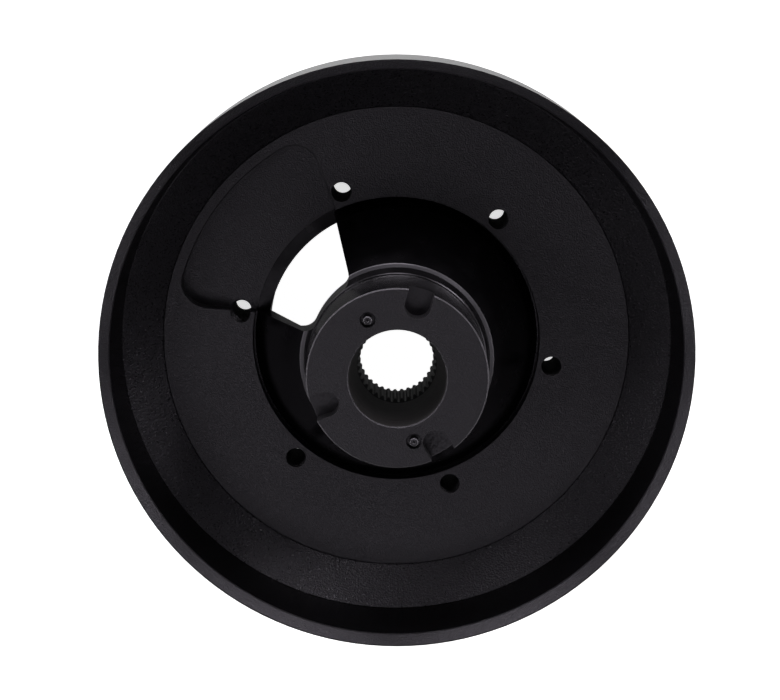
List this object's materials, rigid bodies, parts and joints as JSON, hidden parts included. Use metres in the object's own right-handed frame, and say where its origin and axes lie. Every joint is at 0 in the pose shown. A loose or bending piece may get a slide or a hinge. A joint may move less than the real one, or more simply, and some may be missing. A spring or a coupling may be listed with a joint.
{
  "type": "steering wheel hub adapter",
  "caption": "Short steering wheel hub adapter: dished black bell with tapped wheel-bolt flange, cable window and a splined column boss.",
  "frame": {"origin": "centre of the face that the steering wheel bolts to", "axes": "+Z along the hub's axis from the steering wheel towards the column; +X and +Y square to it, with the cable window centred near 143 degrees from +X towards +Y"},
  "size_m": [0.1256, 0.1256, 0.0627],
  "materials": {
    "skirt_anodised": "bead-blasted, black anodised",
    "flange_anodised": "fine satin, black anodised",
    "cone_anodised": "turned, black anodised",
    "boss_anodised": "bead-blasted, black anodised",
    "sleeve_steel": "black oxide",
    "pin_steel": "black oxide, worn nose"
  },
  "bodies": {
    "root": {"outer_skirt": "skirt_anodised", "wheel_flange": "flange_anodised", "hub_cone": "cone_anodised", "column_boss": "boss_anodised", "spline_sleeve": "sleeve_steel", "cam_pin_1": "pin_steel", "cam_pin_2": "pin_steel"}
  },
  "joints": []
}
